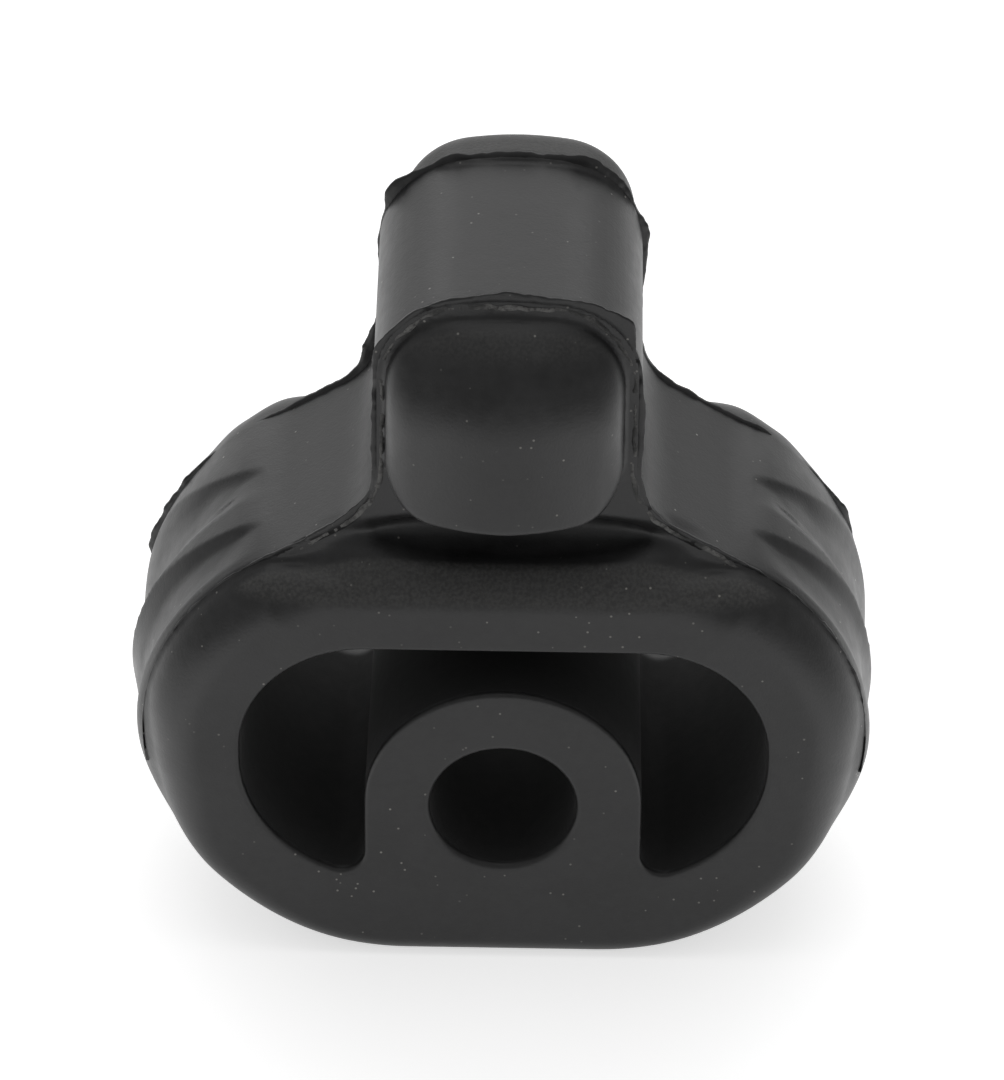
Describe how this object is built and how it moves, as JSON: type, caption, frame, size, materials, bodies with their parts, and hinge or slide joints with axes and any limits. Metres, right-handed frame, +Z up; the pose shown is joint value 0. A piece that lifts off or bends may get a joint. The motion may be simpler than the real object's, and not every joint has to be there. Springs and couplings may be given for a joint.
{
  "type": "exhaust hanger",
  "caption": "One-piece black rubber exhaust hanger: stadium loop with a round pin hole in a boss, a curved pocket over it and a tall padded head for a bracket.",
  "frame": {"origin": "centre of the bounding box in X and Y, at the flat underside it stands on in Z", "axes": "X across the hanger, Y along the round hole with the front at minus Y, Z up from the flat underside to the head"},
  "size_m": [0.0604, 0.0304, 0.065],
  "materials": {
    "black_rubber": "matte moulded, dusty"
  },
  "bodies": {
    "root": {"hanger_body": "black_rubber"}
  },
  "joints": []
}
